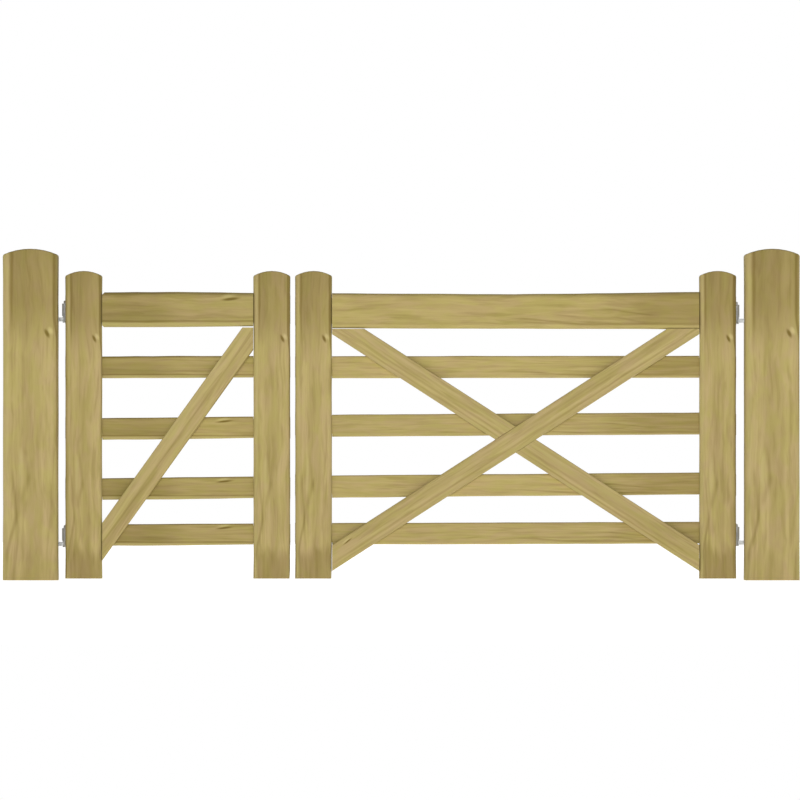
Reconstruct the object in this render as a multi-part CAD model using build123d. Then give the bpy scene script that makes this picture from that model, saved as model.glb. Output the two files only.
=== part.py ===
# Five-bar gate: a narrow and a wide timber leaf hung between two square posts.
# Millimetres. X runs along the gate from the left post to the right one, Y runs
# from the front to the back, Z is up. The origin is the centre of the left post's foot.

from build123d import *
from collections import namedtuple
from math import atan2, degrees
import os

os.makedirs("parts", exist_ok=True)

# Places of the leaves between the posts
narrow_hinge_gap = 28.0
narrow_leaf_width = 900.0
meeting_gap = 19.0
wide_leaf_width = 1764.0
wide_hinge_gap = 32.0
ground_clearance = 6.0

# Gate posts, and how far their shoulders stand above those of the stiles
post_width = 220.0
post_depth = 220.0
post_horn = 84.0
post_crown_rise = 24.0
post_arris_radius = 24.0
post_head_chamfer = 7.0

# Stiles, with the posts' domed head, and how far they stand above the higher top rail
stile_width = 148.0
stile_depth = 70.0
stile_horn = 64.0
stile_crown_rise = 20.0
stile_arris_radius = 16.0
stile_head_chamfer = 5.0

# Top rails, flush with the stiles, their tenons, and the nicked corners of the narrow one
top_rail_height = 142.0
top_rail_arris_radius = 16.0
top_rail_tenon_thickness = 22.0
top_rail_tenon_height = 102.0
narrow_rail_upper_nick = 11.0
narrow_rail_lower_nick = 8.0

# Bars below the top rails, set in the middle of the stiles' depth
bar_height = 88.0
bar_thickness = 22.0
bar_arris_radius = 6.0
bar_tenon_height = 72.0

# Heights above ground of the lower edges of the narrow leaf's top rail and bars, and
# how much higher those of the wide leaf lie, whose second bar is level with the other
narrow_top_rail_level = 1010.0
narrow_second_bar_level = 808.0
narrow_third_bar_level = 564.0
narrow_fourth_bar_level = 324.0
narrow_bottom_bar_level = 138.0
wide_top_rail_lift = -5.0
wide_third_bar_lift = 14.0
wide_fourth_bar_lift = 12.0
wide_bottom_bar_lift = 5.0

# Braces on the front of the bars. The lower edge meets one stile at the foot level and
# the other stile at the drop below the top rail.
brace_width = 88.0
brace_thickness = 22.0
brace_arris_radius = 3.0
narrow_brace_foot_level = 78.0
narrow_brace_head_drop = 90.0
wide_brace_foot_level = 36.0
wide_brace_head_drop = 22.0

# Wedges above and below each tenon, driven in from the stile's outer edge
wedge_length = 60.0
wedge_thick_end = 6.0
wedge_thin_end = 1.5

# Play round tenons and wedges, and between two halved braces
joint_play = 0.2

# Hinge bands on the back of the leaves, each a strap with a rolled eye
band_height = 50.0
band_thickness = 6.0
band_tail_radius = 22.0
narrow_top_band_reach = 400.0
wide_top_band_reach = 600.0
bottom_band_reach = 122.0

# Hooks driven into the posts, each a square spike, a round head and an upright pin
pin_diameter = 16.0
pin_play = 0.3
pin_stand_out = 12.0
pin_tip_chamfer = 3.0
hook_head_diameter = 24.0
hook_head_height = 26.0
spike_width = 16.0
spike_depth = 120.0
spike_taper_length = 60.0
spike_tip_width = 5.0
spike_play = 0.2

# Levels and places worked out from the sizes above
wide_top_rail_level = narrow_top_rail_level + wide_top_rail_lift
wide_bottom_bar_level = narrow_bottom_bar_level + wide_bottom_bar_lift
stile_shoulder_level = max(narrow_top_rail_level, wide_top_rail_level) + top_rail_height + stile_horn
post_shoulder_level = stile_shoulder_level + post_horn
narrow_hanging_edge = post_width / 2 + narrow_hinge_gap
narrow_meeting_edge = narrow_hanging_edge + narrow_leaf_width
wide_meeting_edge = narrow_meeting_edge + meeting_gap
wide_hanging_edge = wide_meeting_edge + wide_leaf_width
right_post_centre = wide_hanging_edge + wide_hinge_gap + post_width / 2
brace_middle_depth = -(bar_thickness + brace_thickness) / 2
eye_bore_radius = pin_diameter / 2 + pin_play
eye_radius = eye_bore_radius + band_thickness
pin_line_depth = stile_depth / 2 + eye_radius

# Cross-section of a rail or bar, and the two that this gate has
Section = namedtuple("Section", "thickness height arris tenon_thickness tenon_height")
rail_section = Section(
    stile_depth, top_rail_height, top_rail_arris_radius, top_rail_tenon_thickness, top_rail_tenon_height
)
bar_section = Section(bar_thickness, bar_height, bar_arris_radius, bar_thickness, bar_tenon_height)


def within(radius, *walls):
    """Radius or chamfer, kept under half of the thinnest wall that it rounds."""
    return min(radius, 0.45 * min(walls))


def domed_upright(width, depth, foot, shoulder, rise, arris, head_chamfer):
    """Upright timber on the line X = 0 with a shallow barrel head across its width."""
    with BuildPart() as upright:
        with BuildSketch(Plane.XZ):
            with BuildLine():
                Polyline(
                    (-width / 2, shoulder),
                    (-width / 2, foot),
                    (width / 2, foot),
                    (width / 2, shoulder),
                )
                ThreePointArc((width / 2, shoulder), (0, shoulder + rise), (-width / 2, shoulder))
            make_face()
        extrude(amount=depth / 2, both=True)
        fillet(upright.edges().filter_by(Axis.Z), within(arris, width, depth))
        head = upright.faces().sort_by(Axis.Z)[-1]
        chamfer(head.edges(), within(head_chamfer, width, depth))
    return upright.part


def long_board(length, thickness, height, arris):
    """Board along X with its four long edges rounded, centred on the origin."""
    with BuildPart() as board:
        Box(length, thickness, height)
        fillet(board.edges().filter_by(Axis.X), within(arris, thickness, height))
    return board.part


def tenoned_board(left, right, level, section):
    """Rail or bar between two stiles, with a tenon through each of them."""
    length = right - left
    body = long_board(length, section.thickness, section.height, section.arris)
    tenons = Box(length + 2 * stile_width, section.tenon_thickness, section.tenon_height)
    return Pos((left + right) / 2, 0, level + section.height / 2) * (body + tenons)


def wedge(edge, inward, tenon_face, away, width, play):
    """Wedge at a stile's outer edge, on the upper or lower face of a tenon."""
    inner_end = edge + inward * (wedge_length + play)
    with BuildPart() as tapered:
        with BuildSketch(Plane.XZ):
            with BuildLine():
                Polyline(
                    (edge, tenon_face),
                    (inner_end, tenon_face),
                    (inner_end, tenon_face + away * (wedge_thin_end + play)),
                    (edge, tenon_face + away * (wedge_thick_end + play)),
                    close=True,
                )
            make_face()
        extrude(amount=width / 2 + play, both=True)
    return tapered.part


def wedge_pair(edge, inward, level, section, play):
    """The two wedges of one tenon where it comes out of a stile's outer edge."""
    middle = level + section.height / 2
    return [
        wedge(edge, inward, middle + away * section.tenon_height / 2, away, section.tenon_thickness, play)
        for away in (-1, 1)
    ]


def stile(edge, inward, boards):
    """Upright of a leaf, from its outer edge inward, mortised for each rail and bar."""
    middle = edge + inward * stile_width / 2
    timber = Pos(middle, 0, 0) * domed_upright(
        stile_width,
        stile_depth,
        ground_clearance,
        stile_shoulder_level,
        stile_crown_rise,
        stile_arris_radius,
        stile_head_chamfer,
    )
    for level, section in boards:
        slot = Box(
            2 * stile_width,
            section.tenon_thickness + 2 * joint_play,
            section.tenon_height + 2 * joint_play,
        )
        timber -= Pos(middle, 0, level + section.height / 2) * slot
        for pocket in wedge_pair(edge, inward, level, section, joint_play):
            timber -= pocket
    return timber


def panel(left, right, rail_level):
    """Space between two stiles and under the top rail, which the braces fill in part."""
    height = rail_level - ground_clearance
    space = Box(right - left, 2 * stile_depth, height)
    return Pos((left + right) / 2, 0, ground_clearance + height / 2) * space


def along_brace(left, right, left_level, right_level, shape):
    """Shape along X, laid on the line of a brace's lower edge between two stiles."""
    slope = degrees(atan2(right_level - left_level, right - left))
    return Pos(left, brace_middle_depth, left_level) * Rot(0, -slope, 0) * Pos(0, 0, brace_width / 2) * shape


def brace(left, right, left_level, right_level, rail_level):
    """Slanting bar cut to the stiles and to the underside of the top rail."""
    uncut_length = 4 * (right - left)
    bar = long_board(uncut_length, brace_thickness, brace_width, brace_arris_radius)
    return along_brace(left, right, left_level, right_level, bar) & panel(left, right, rail_level)


def halving(left, right, left_level, right_level, side):
    """Room for a crossing brace in the front (-1) or the back (1) half of the other one."""
    half = brace_thickness / 2
    room = Box(4 * (right - left), half, brace_width + 2 * joint_play)
    return along_brace(left, right, left_level, right_level, Pos(0, side * half / 2, 0) * room)


def corner_nick(corner, level, size, inward):
    """Wedge along Y that takes a corner off the left end of a rail."""
    with BuildPart() as cut:
        with BuildSketch(Plane.XZ):
            with BuildLine():
                Polyline(
                    (corner, level),
                    (corner + size, level),
                    (corner, level + inward * size),
                    close=True,
                )
            make_face()
        extrude(amount=stile_depth, both=True)
    return cut.part


def hinge_band(reach, middle):
    """Strap on the back of a leaf that hangs at X = 0, with a rolled eye round the pin."""
    with BuildPart() as band:
        with BuildSketch(Plane.XY.offset(middle - band_height / 2)):
            with Locations((0, pin_line_depth)):
                Circle(eye_radius)
            with Locations((reach / 2, stile_depth / 2 + band_thickness / 2)):
                Rectangle(reach, band_thickness)
            with Locations((0, pin_line_depth)):
                Circle(eye_bore_radius, mode=Mode.SUBTRACT)
        extrude(amount=band_height)
        tail = band.faces().sort_by(Axis.X)[-1]
        fillet(tail.edges().filter_by(Axis.Y), within(band_tail_radius, band_height))
    return band.part


def spike(gap, play):
    """Square spike from the pin line towards -X, across the hinge gap and into a post."""
    full = spike_width + 2 * play
    tip = spike_tip_width + 2 * play
    taper_start = Plane.YZ.offset(-(gap + spike_depth - spike_taper_length))
    with BuildPart() as iron:
        with BuildSketch(Plane.YZ):
            Rectangle(full, full)
        extrude(amount=-(gap + spike_depth - spike_taper_length))
        with BuildSketch(taper_start):
            Rectangle(full, full)
        with BuildSketch(taper_start.offset(-(spike_taper_length + play))):
            Rectangle(tip, tip)
        loft()
    return iron.part


def spike_place(middle):
    """Place of a spike's start for the band whose middle is at this height."""
    eye_foot = middle - band_height / 2
    return Pos(0, pin_line_depth, eye_foot - pin_play - hook_head_height / 2)


def hook(gap, middle):
    """Hook for the band at this height, on a leaf that hangs at X = 0."""
    pin_height = pin_play + band_height + pin_stand_out
    with BuildPart() as iron:
        Cylinder(hook_head_diameter / 2, hook_head_height)
        with Locations((0, 0, hook_head_height / 2)):
            Cylinder(pin_diameter / 2, pin_height, align=(Align.CENTER, Align.CENTER, Align.MIN))
        tip = iron.faces().sort_by(Axis.Z)[-1]
        chamfer(tip.edges(), within(pin_tip_chamfer, pin_diameter))
        add(spike(gap, 0))
    return spike_place(middle) * iron.part


def gate_post(gap, middles):
    """Post for a leaf hung on its right side, with a hole for the spike at each height."""
    timber = domed_upright(
        post_width,
        post_depth,
        0,
        post_shoulder_level,
        post_crown_rise,
        post_arris_radius,
        post_head_chamfer,
    )
    for middle in middles:
        timber -= Pos(post_width / 2 + gap, 0, 0) * spike_place(middle) * spike(gap, spike_play)
    return timber


def leaf_timbers(name, left, right, left_stile, right_stile, boards):
    """Stiles, top rail, bars and wedges of one leaf, by node name."""
    fitted = list(boards.values())
    timbers = {
        f"{name}_{left_stile}": stile(left, 1, fitted),
        f"{name}_{right_stile}": stile(right, -1, fitted),
    }
    wedges = []
    for board_name, (level, section) in boards.items():
        inner_left = left + stile_width
        inner_right = right - stile_width
        timbers[f"{name}_{board_name}"] = tenoned_board(inner_left, inner_right, level, section)
        wedges += wedge_pair(left, 1, level, section, 0)
        wedges += wedge_pair(right, -1, level, section, 0)
    timbers[f"{name}_wedges"] = Compound(children=wedges)
    return timbers


def hinge_pieces(name, gap, top_middle, bottom_middle, top_reach):
    """Bands and hooks of one leaf that hangs at X = 0 on a post to its left, by node name."""
    return {
        f"{name}_top_band": hinge_band(top_reach, top_middle),
        f"{name}_bottom_band": hinge_band(bottom_band_reach, bottom_middle),
        f"{name}_top_hook": hook(gap, top_middle),
        f"{name}_bottom_hook": hook(gap, bottom_middle),
    }


nodes = {}

# Narrow leaf, hung on the left post
narrow_boards = {
    "top_rail": (narrow_top_rail_level, rail_section),
    "second_bar": (narrow_second_bar_level, bar_section),
    "third_bar": (narrow_third_bar_level, bar_section),
    "fourth_bar": (narrow_fourth_bar_level, bar_section),
    "bottom_bar": (narrow_bottom_bar_level, bar_section),
}
nodes.update(
    leaf_timbers(
        "narrow", narrow_hanging_edge, narrow_meeting_edge, "hanging_stile", "meeting_stile", narrow_boards
    )
)
narrow_left = narrow_hanging_edge + stile_width
narrow_right = narrow_meeting_edge - stile_width
narrow_rail_top = narrow_top_rail_level + top_rail_height
nodes["narrow_top_rail"] -= corner_nick(narrow_left, narrow_rail_top, narrow_rail_upper_nick, -1)
nodes["narrow_top_rail"] -= corner_nick(narrow_left, narrow_top_rail_level, narrow_rail_lower_nick, 1)
nodes["narrow_brace"] = brace(
    narrow_left,
    narrow_right,
    narrow_brace_foot_level,
    narrow_top_rail_level - narrow_brace_head_drop,
    narrow_top_rail_level,
)

# Wide leaf, hung on the right post, with two braces halved together where they cross
wide_boards = {
    "top_rail": (wide_top_rail_level, rail_section),
    "second_bar": (narrow_second_bar_level, bar_section),
    "third_bar": (narrow_third_bar_level + wide_third_bar_lift, bar_section),
    "fourth_bar": (narrow_fourth_bar_level + wide_fourth_bar_lift, bar_section),
    "bottom_bar": (wide_bottom_bar_level, bar_section),
}
nodes.update(
    leaf_timbers("wide", wide_meeting_edge, wide_hanging_edge, "meeting_stile", "hanging_stile", wide_boards)
)
wide_left = wide_meeting_edge + stile_width
wide_right = wide_hanging_edge - stile_width
wide_brace_head_level = wide_top_rail_level - wide_brace_head_drop
rising_line = (wide_left, wide_right, wide_brace_foot_level, wide_brace_head_level)
falling_line = (wide_left, wide_right, wide_brace_head_level, wide_brace_foot_level)
nodes["wide_rising_brace"] = brace(*rising_line, wide_top_rail_level) - halving(*falling_line, 1)
nodes["wide_falling_brace"] = brace(*falling_line, wide_top_rail_level) - halving(*rising_line, -1)

# Hinges in line with the top rails and the bottom bars, mirrored for the right post
narrow_top_middle = narrow_top_rail_level + top_rail_height / 2
narrow_bottom_middle = narrow_bottom_bar_level + bar_height / 2
narrow_hinges = hinge_pieces(
    "narrow", narrow_hinge_gap, narrow_top_middle, narrow_bottom_middle, narrow_top_band_reach
)
for name, piece in narrow_hinges.items():
    nodes[name] = Pos(narrow_hanging_edge, 0, 0) * piece
nodes["left_post"] = gate_post(narrow_hinge_gap, (narrow_top_middle, narrow_bottom_middle))

wide_top_middle = wide_top_rail_level + top_rail_height / 2
wide_bottom_middle = wide_bottom_bar_level + bar_height / 2
wide_hinges = hinge_pieces("wide", wide_hinge_gap, wide_top_middle, wide_bottom_middle, wide_top_band_reach)
for name, piece in wide_hinges.items():
    nodes[name] = Pos(wide_hanging_edge, 0, 0) * mirror(piece, about=Plane.YZ)
right_post = gate_post(wide_hinge_gap, (wide_top_middle, wide_bottom_middle))
nodes["right_post"] = Pos(right_post_centre, 0, 0) * mirror(right_post, about=Plane.YZ)

for name, shape in nodes.items():
    export_step(shape, f"parts/{name}.step")
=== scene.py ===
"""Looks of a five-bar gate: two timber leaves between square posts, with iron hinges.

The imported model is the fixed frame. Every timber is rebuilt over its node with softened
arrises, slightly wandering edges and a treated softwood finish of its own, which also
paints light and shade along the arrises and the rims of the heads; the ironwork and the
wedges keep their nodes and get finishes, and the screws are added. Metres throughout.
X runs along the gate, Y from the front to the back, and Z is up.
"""

import logging
import math
from collections.abc import Callable, Sequence
from dataclasses import dataclass, field, replace
from enum import Enum

import bpy
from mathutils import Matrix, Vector


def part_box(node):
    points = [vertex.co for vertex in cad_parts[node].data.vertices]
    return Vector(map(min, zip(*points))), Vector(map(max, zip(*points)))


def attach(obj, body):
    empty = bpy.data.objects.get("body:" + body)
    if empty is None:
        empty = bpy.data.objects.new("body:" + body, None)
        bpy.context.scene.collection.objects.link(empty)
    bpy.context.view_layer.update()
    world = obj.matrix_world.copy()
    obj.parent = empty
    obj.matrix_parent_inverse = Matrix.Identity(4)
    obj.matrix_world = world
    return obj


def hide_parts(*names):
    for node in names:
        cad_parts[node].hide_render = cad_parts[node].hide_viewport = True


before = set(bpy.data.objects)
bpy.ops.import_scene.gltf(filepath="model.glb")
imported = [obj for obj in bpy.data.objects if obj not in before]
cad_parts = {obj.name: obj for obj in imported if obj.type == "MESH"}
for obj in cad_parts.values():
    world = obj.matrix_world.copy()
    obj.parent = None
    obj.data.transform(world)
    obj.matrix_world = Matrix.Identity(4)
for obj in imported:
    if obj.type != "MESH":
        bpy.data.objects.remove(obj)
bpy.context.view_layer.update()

LOG = logging.getLogger("five_bar_gate")

Piece = bpy.types.Object
Socket = bpy.types.NodeSocket
Test = Callable[[list[Vector]], bool]
Point = tuple[float, float, float]
Ends = tuple[float, float, float]
Colour = tuple[float, float, float]
Rgba = tuple[float, float, float, float]

SAME_PLACE = 1e-4
SAME_CORNER = 1e-5
JOINT_GAP = 0.0002
BEYOND = 0.01
SMOOTH_UNDER = math.radians(31)
QUARTER_TURN = math.pi / 2
WHITE = (1.0, 1.0, 1.0, 1.0)


class Element(Enum):
    """What is picked in a mesh, as Blender's three select modes."""

    CORNER = (True, False, False)
    EDGE = (False, True, False)
    FACE = (False, False, True)


class Axis(Enum):
    """World axes by their place in a coordinate."""

    X = 0
    Y = 1
    Z = 2

    @property
    def unit(self) -> Vector:
        """Unit vector along the axis."""
        return Vector([1.0 if place == self.value else 0.0 for place in range(3)])


class Body(Enum):
    """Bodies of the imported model."""

    POSTS = "posts"
    NARROW = "narrow_leaf"
    WIDE = "wide_leaf"


class Slot(Enum):
    """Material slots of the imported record."""

    POST = "post_timber"
    STILE = "stile_timber"
    BAR = "bar_timber"
    BRACE = "brace_timber"
    STEEL = "galvanised_steel"


# ---------------------------------------------------------------------------
# Bench work: Blender's own modelling operators on one piece at a time
# ---------------------------------------------------------------------------


def close(first: float, second: float) -> bool:
    """Whether two coordinates are the same place."""
    return abs(first - second) < SAME_PLACE


def take_up(piece: Piece | None = None) -> None:
    """Leaves edit mode and selects nothing but the piece.

    Args:
        piece: The object to work on, or None to leave nothing selected.
    """
    if bpy.context.object and bpy.context.object.mode != "OBJECT":
        bpy.ops.object.mode_set(mode="OBJECT")
    bpy.ops.object.select_all(action="DESELECT")
    if piece:
        piece.select_set(True)
        bpy.context.view_layer.objects.active = piece


def settle(piece: Piece) -> None:
    """Moves a piece's place, turn and scale into its mesh."""
    take_up(piece)
    bpy.ops.object.transform_apply(location=True, rotation=True, scale=True)


def block(name: str, low: Sequence[float], high: Sequence[float]) -> Piece:
    """Adds a box between two corners, the start of most pieces.

    Args:
        name: Name of the new object.
        low: Lowest corner.
        high: Highest corner.

    Returns:
        The new object, at the origin with its place in its mesh.
    """
    take_up()
    low, high = Vector(low), Vector(high)
    bpy.ops.mesh.primitive_cube_add(size=1.0, location=(low + high) / 2)
    piece = bpy.context.object
    piece.name = piece.data.name = name
    piece.scale = high - low
    settle(piece)
    return piece


def pick(piece: Piece, kind: Element, wanted: Test) -> int:
    """Selects parts of a mesh by the places of their corners, and opens edit mode.

    Args:
        piece: The object to pick in.
        kind: Whether corners, edges or faces are picked.
        wanted: Says of a part's corners whether it is picked.

    Returns:
        How many parts were picked.
    """
    take_up(piece)
    mesh = piece.data
    bpy.context.tool_settings.mesh_select_mode = kind.value
    kinds = {Element.CORNER: mesh.vertices, Element.EDGE: mesh.edges, Element.FACE: mesh.polygons}
    for parts in kinds.values():
        parts.foreach_set("select", [False] * len(parts))
    count = 0
    for part in kinds[kind]:
        corners = [part.index] if kind is Element.CORNER else part.vertices
        if wanted([mesh.vertices[corner].co for corner in corners]):
            part.select = True
            count += 1
    bpy.ops.object.mode_set(mode="EDIT")
    return count


def saw(piece: Piece, place: Sequence[float], normal: Sequence[float], drop: bool = False) -> None:
    """Cuts right through a piece with a plane.

    Args:
        piece: The object to cut.
        place: A point of the plane.
        normal: The plane's normal.
        drop: Whether what lies beyond the plane falls off and the cut is closed.
    """
    take_up(piece)
    bpy.ops.object.mode_set(mode="EDIT")
    bpy.ops.mesh.select_all(action="SELECT")
    bpy.ops.mesh.bisect(plane_co=place, plane_no=normal, use_fill=drop, clear_outer=drop)
    bpy.ops.object.mode_set(mode="OBJECT")


def score(piece: Piece, axis: Axis, start: float, end: float, spacing: float) -> None:
    """Divides a piece by evenly spaced cuts along an axis.

    Args:
        piece: The object to divide.
        axis: The axis that the cuts are square to.
        start: Where the divided length starts.
        end: Where it ends.
        spacing: About how far apart the cuts are.
    """
    count = max(1, round((end - start) / spacing))
    for step in range(1, count):
        saw(piece, axis.unit * (start + (end - start) * step / count), axis.unit)


def round_over(piece: Piece, radius: float, segments: int, wanted: Test) -> None:
    """Bevels the edges that are wanted.

    Args:
        piece: The object to bevel.
        radius: Width of the bevel.
        segments: Into how many faces it is divided.
        wanted: Says of an edge's two corners whether it is bevelled.
    """
    if pick(piece, Element.EDGE, wanted):
        bpy.ops.mesh.bevel(offset=radius, segments=segments, profile=0.5, affect="EDGES")
    bpy.ops.object.mode_set(mode="OBJECT")


def shift(piece: Piece, by: Sequence[float], wanted: Test) -> None:
    """Moves the corners that are wanted.

    Args:
        piece: The object to shape.
        by: How far they move.
        wanted: Says of a corner, alone in its list, whether it moves.
    """
    if pick(piece, Element.CORNER, wanted):
        bpy.ops.transform.translate(value=by)
    bpy.ops.object.mode_set(mode="OBJECT")


def along(axis: Axis) -> Test:
    """Test for the edges that run along an axis."""

    def runs(corners: list[Vector]) -> bool:
        """Whether an edge's corners differ along the axis alone."""
        span = corners[1] - corners[0]
        return all(abs(span[place]) < SAME_PLACE for place in range(3) if place != axis.value)

    return runs


def apply_modifier(piece: Piece, kind: str, **settings: object) -> None:
    """Adds a modifier to a piece and applies it.

    Args:
        piece: The object to work on.
        kind: Blender's name of the modifier.
        settings: The modifier's own settings.
    """
    take_up(piece)
    modifier = piece.modifiers.new(kind.lower(), kind)
    for setting, value in settings.items():
        setattr(modifier, setting, value)
    bpy.ops.object.modifier_apply(modifier=modifier.name)


def carve(piece: Piece, cutters: list[Piece]) -> None:
    """Takes the cutters' shapes out of a piece and throws the cutters away.

    Args:
        piece: The object that is cut.
        cutters: Closed meshes to take away from it.
    """
    cutter = join(cutters, "cutter")
    apply_modifier(
        piece, "BOOLEAN", operation="DIFFERENCE", solver="EXACT", use_self=True, object=cutter
    )
    bpy.data.meshes.remove(cutter.data)


def join(pieces: list[Piece], name: str) -> Piece:
    """Joins several pieces into one of that name."""
    take_up(pieces[0])
    for piece in pieces[1:]:
        piece.select_set(True)
    if len(pieces) > 1:
        bpy.ops.object.join()
    pieces[0].name = pieces[0].data.name = name
    return pieces[0]


def copy_to(model: Piece, place: Sequence[float]) -> Piece:
    """Copies a piece modelled at the origin, with a mesh of its own, to a place."""
    twin = model.copy()
    twin.data = model.data.copy()
    bpy.context.scene.collection.objects.link(twin)
    twin.location = place
    settle(twin)
    return twin


def wander(
    piece: Piece,
    direction: str,
    reach: float,
    patch: float,
    inward: bool,
    steady: Callable[[Vector], float],
) -> None:
    """Lets the faces of a piece wander a little, as sawn and dried timber does.

    Args:
        piece: The timber.
        direction: Displacement direction, "X", "Y", "Z" or "NORMAL".
        reach: Full range of the displacement.
        patch: Size of the swells.
        inward: Whether it only goes inwards, for direction "NORMAL".
        steady: Says for a place how far it takes part, from 0 to 1.
    """
    group = piece.vertex_groups.new(name="wander")
    for corner in piece.data.vertices:
        group.add([corner.index], steady(corner.co), "REPLACE")
    swells = bpy.data.textures.new("swells", "CLOUDS")
    swells.noise_scale = patch
    swells.noise_depth = 1
    apply_modifier(
        piece,
        "DISPLACE",
        texture=swells,
        direction=direction,
        strength=reach,
        mid_level=1.0 if inward else 0.5,
        texture_coords="LOCAL",
        vertex_group=group.name,
    )
    piece.vertex_groups.clear()


def polish(piece: Piece) -> None:
    """Merges doubles, turns all faces outwards and smooths the rounded ones."""
    take_up(piece)
    bpy.ops.object.mode_set(mode="EDIT")
    bpy.ops.mesh.select_all(action="SELECT")
    bpy.ops.mesh.remove_doubles(threshold=SAME_CORNER)
    bpy.ops.mesh.normals_make_consistent(inside=False)
    bpy.ops.object.mode_set(mode="OBJECT")
    bpy.ops.object.shade_smooth_by_angle(angle=SMOOTH_UNDER)


def dress(piece: Piece, material: bpy.types.Material) -> None:
    """Gives a piece one material all over."""
    piece.data.materials.clear()
    piece.data.materials.append(material)


def hand_over(
    piece: Piece, material: bpy.types.Material, slot: Slot, body: Body, *nodes: str
) -> None:
    """Gives a finished piece its material and its place on the frame.

    Args:
        piece: The finished piece.
        material: Its finish.
        slot: The record's slot that the finish belongs to; not used.
        body: The body that it rides on.
        nodes: The nodes that it stands for.
    """
    dress(piece, material)
    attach(piece, body.value)
    if nodes:
        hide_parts(*nodes)
    LOG.info("%s: %d faces on %s", piece.name, len(piece.data.polygons), body.value)


# ---------------------------------------------------------------------------
# Finishes: node graphs and the groups that several finishes share
# ---------------------------------------------------------------------------


def linear(colour: Colour) -> Rgba:
    """Scene colour of a display colour whose channels run from 0 to 255."""

    def channel(value: float) -> float:
        """One channel from display to linear light."""
        share = value / 255
        return share / 12.92 if share <= 0.04045 else ((share + 0.055) / 1.055) ** 2.4

    return (*(channel(value) for value in colour), 1.0)


@dataclass
class Graph:
    """Node tree with short calls for the nodes that the finishes use."""

    tree: bpy.types.NodeTree
    column: int = 0

    def node(self, kind: str, **settings: object) -> bpy.types.Node:
        """Adds a node and sets its own settings.

        Args:
            kind: Blender's name of the node type.
            settings: Settings of the node, not of its sockets.

        Returns:
            The new node.
        """
        made = self.tree.nodes.new(kind)
        for setting, value in settings.items():
            setattr(made, setting, value)
        made.location = (self.column * 190, -(self.column % 5) * 170)
        self.column += 1
        return made

    def feed(self, socket: Socket, value: object) -> None:
        """Links a socket into an input, or sets the input to a number or colour."""
        if isinstance(value, Socket):
            self.tree.links.new(value, socket)
        else:
            socket.default_value = value

    def fill(self, node: bpy.types.Node, **values: object) -> bpy.types.Node:
        """Feeds a node's inputs, which are named by their words joined by _."""
        for name, value in values.items():
            self.feed(node.inputs[name.replace("_", " ")], value)
        return node

    def fill_first(self, node: bpy.types.Node, *values: object) -> bpy.types.Node:
        """Feeds a node's first inputs, in their order."""
        for socket, value in zip(node.inputs, values):
            self.feed(socket, value)
        return node

    def math(self, operation: str, *values: object) -> Socket:
        """Output of a Math node over the values."""
        made = self.node("ShaderNodeMath", operation=operation)
        return self.fill_first(made, *values).outputs[0]

    def vector(self, operation: str, *values: object) -> Socket:
        """Output of a Vector Math node, a number for lengths and dot products."""
        made = self.fill_first(self.node("ShaderNodeVectorMath", operation=operation), *values)
        return made.outputs["Value" if operation in ("LENGTH", "DOT_PRODUCT") else "Vector"]

    def split(self, vector: Socket) -> Sequence[Socket]:
        """The three parts of a vector."""
        return self.fill_first(self.node("ShaderNodeSeparateXYZ"), vector).outputs

    def mix(self, share: object, first: object, second: object, blend: str = "MIX") -> Socket:
        """Output of a colour mix."""
        made = self.node("ShaderNodeMix", data_type="RGBA", blend_type=blend)
        for place, value in ((0, share), (6, first), (7, second)):
            self.feed(made.inputs[place], value)
        return made.outputs[2]

    def over(self, colour: Socket, tone: object, *masks: object) -> Socket:
        """A tone laid over a colour, as strongly as the product of the masks."""
        share = masks[0]
        for mask in masks[1:]:
            share = self.math("MULTIPLY", share, mask)
        return self.mix(share, colour, tone)

    def step(
        self, value: object, start: object, end: object, low: float = 0.0, high: float = 1.0
    ) -> Socket:
        """Soft step of a value from one level at start to another at end."""
        made = self.node("ShaderNodeMapRange", interpolation_type="SMOOTHSTEP")
        return self.fill_first(made, value, start, end, low, high).outputs[0]

    def noise(
        self, vector: object, stretch: Point, detail: float, distortion: float = 0.0
    ) -> Socket:
        """Noise over a vector that is stretched first, from 0 to 1."""
        made = self.node("ShaderNodeTexNoise", noise_dimensions="3D")
        self.fill(made, Vector=self.vector("MULTIPLY", vector, stretch), Scale=1.0)
        return self.fill(made, Detail=detail, Roughness=0.5, Distortion=distortion).outputs["Fac"]

    def group(self, tree: bpy.types.NodeTree, **values: object) -> Sequence[Socket]:
        """Outputs of a node group whose inputs are fed."""
        return self.fill(self.node("ShaderNodeGroup", node_tree=tree), **values).outputs


def new_material(name: str) -> tuple[bpy.types.Material, Graph, bpy.types.Node]:
    """Starts a material, and gives it with its graph and its Principled BSDF."""
    material = bpy.data.materials.new(name)
    material.use_nodes = True
    return material, Graph(material.node_tree), material.node_tree.nodes["Principled BSDF"]


class Kind(Enum):
    """Socket types of a node group."""

    NUMBER = "NodeSocketFloat"
    VECTOR = "NodeSocketVector"


def new_group(
    name: str, inputs: dict[str, Kind], outputs: Sequence[str]
) -> tuple[Graph, Sequence[Socket], Sequence[Socket]]:
    """Starts a shader node group.

    Args:
        name: Name of the group.
        inputs: Its inputs by name.
        outputs: Names of its outputs, which are numbers.

    Returns:
        The group's graph, the sockets that give its inputs and those that take its outputs.
    """
    tree = bpy.data.node_groups.new(name, "ShaderNodeTree")
    for entry, kind in inputs.items():
        tree.interface.new_socket(name=entry, in_out="INPUT", socket_type=kind.value)
    for entry in outputs:
        tree.interface.new_socket(name=entry, in_out="OUTPUT", socket_type=Kind.NUMBER.value)
    graph = Graph(tree)
    return graph, graph.node("NodeGroupInput").outputs, graph.node("NodeGroupOutput").inputs


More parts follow.
